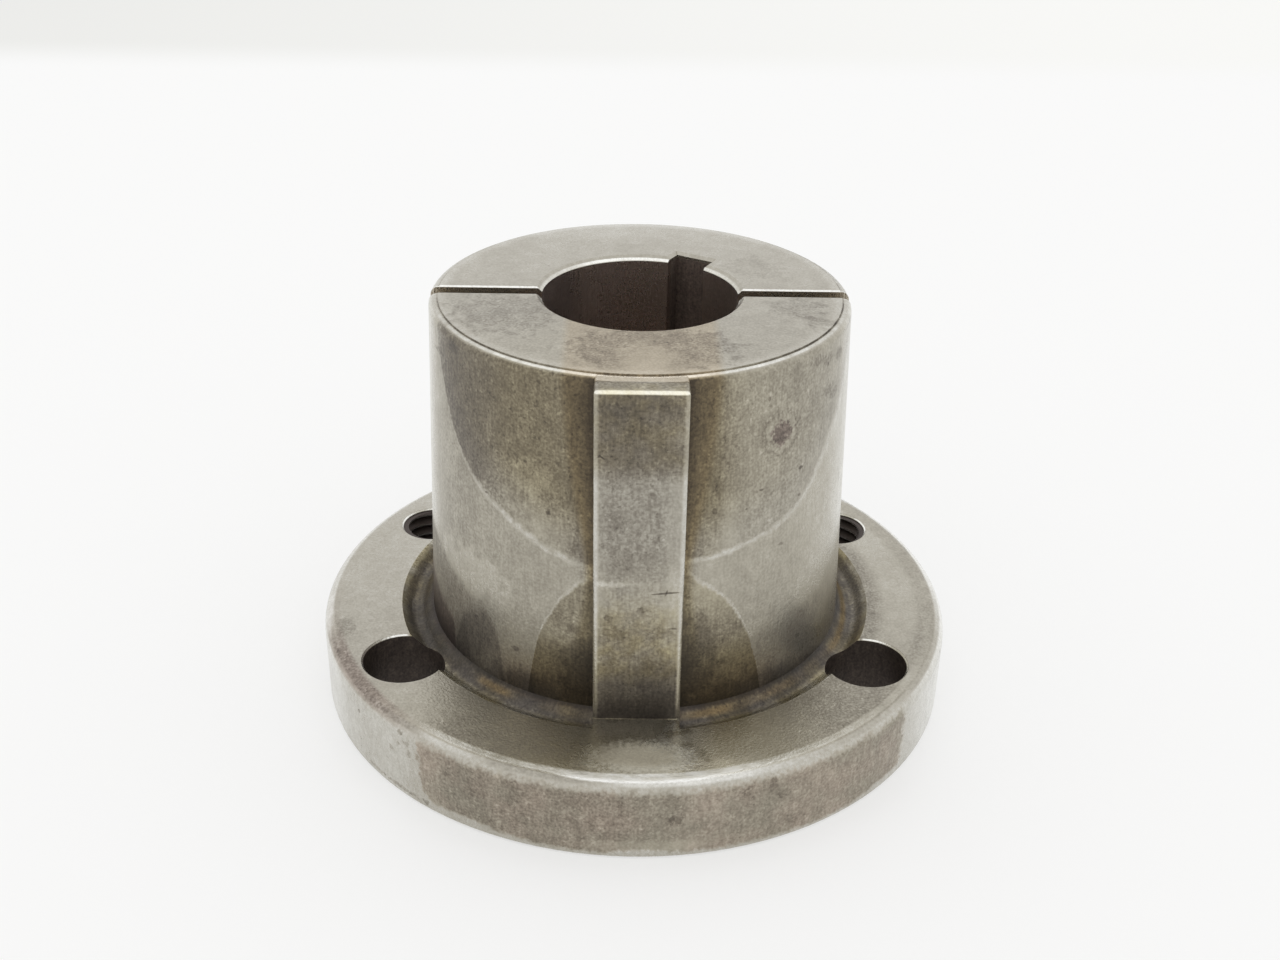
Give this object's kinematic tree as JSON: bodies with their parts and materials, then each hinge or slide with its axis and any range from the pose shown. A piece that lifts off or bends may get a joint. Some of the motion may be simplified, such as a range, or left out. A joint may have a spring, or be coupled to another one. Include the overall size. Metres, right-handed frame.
{
  "type": "taper bush",
  "caption": "Flanged taper bush of steel: a split tapered barrel with an outside key and a keyed bore, on a solid round flange drilled for clamping and jack screws.",
  "frame": {"origin": "on the bore axis, in the flange's flat back face, which is what the bush rests on", "axes": "+Z along the bore axis towards the small end of the taper; the outside key is on the -Y side and the two saw cuts lie along +X and -X"},
  "size_m": [0.0762, 0.0762, 0.0492],
  "materials": {
    "bush_steel": "bare machined steel, aged and oil-stained, satin with fine grinding marks"
  },
  "bodies": {
    "root": {"taper_bush": "bush_steel"}
  },
  "joints": []
}
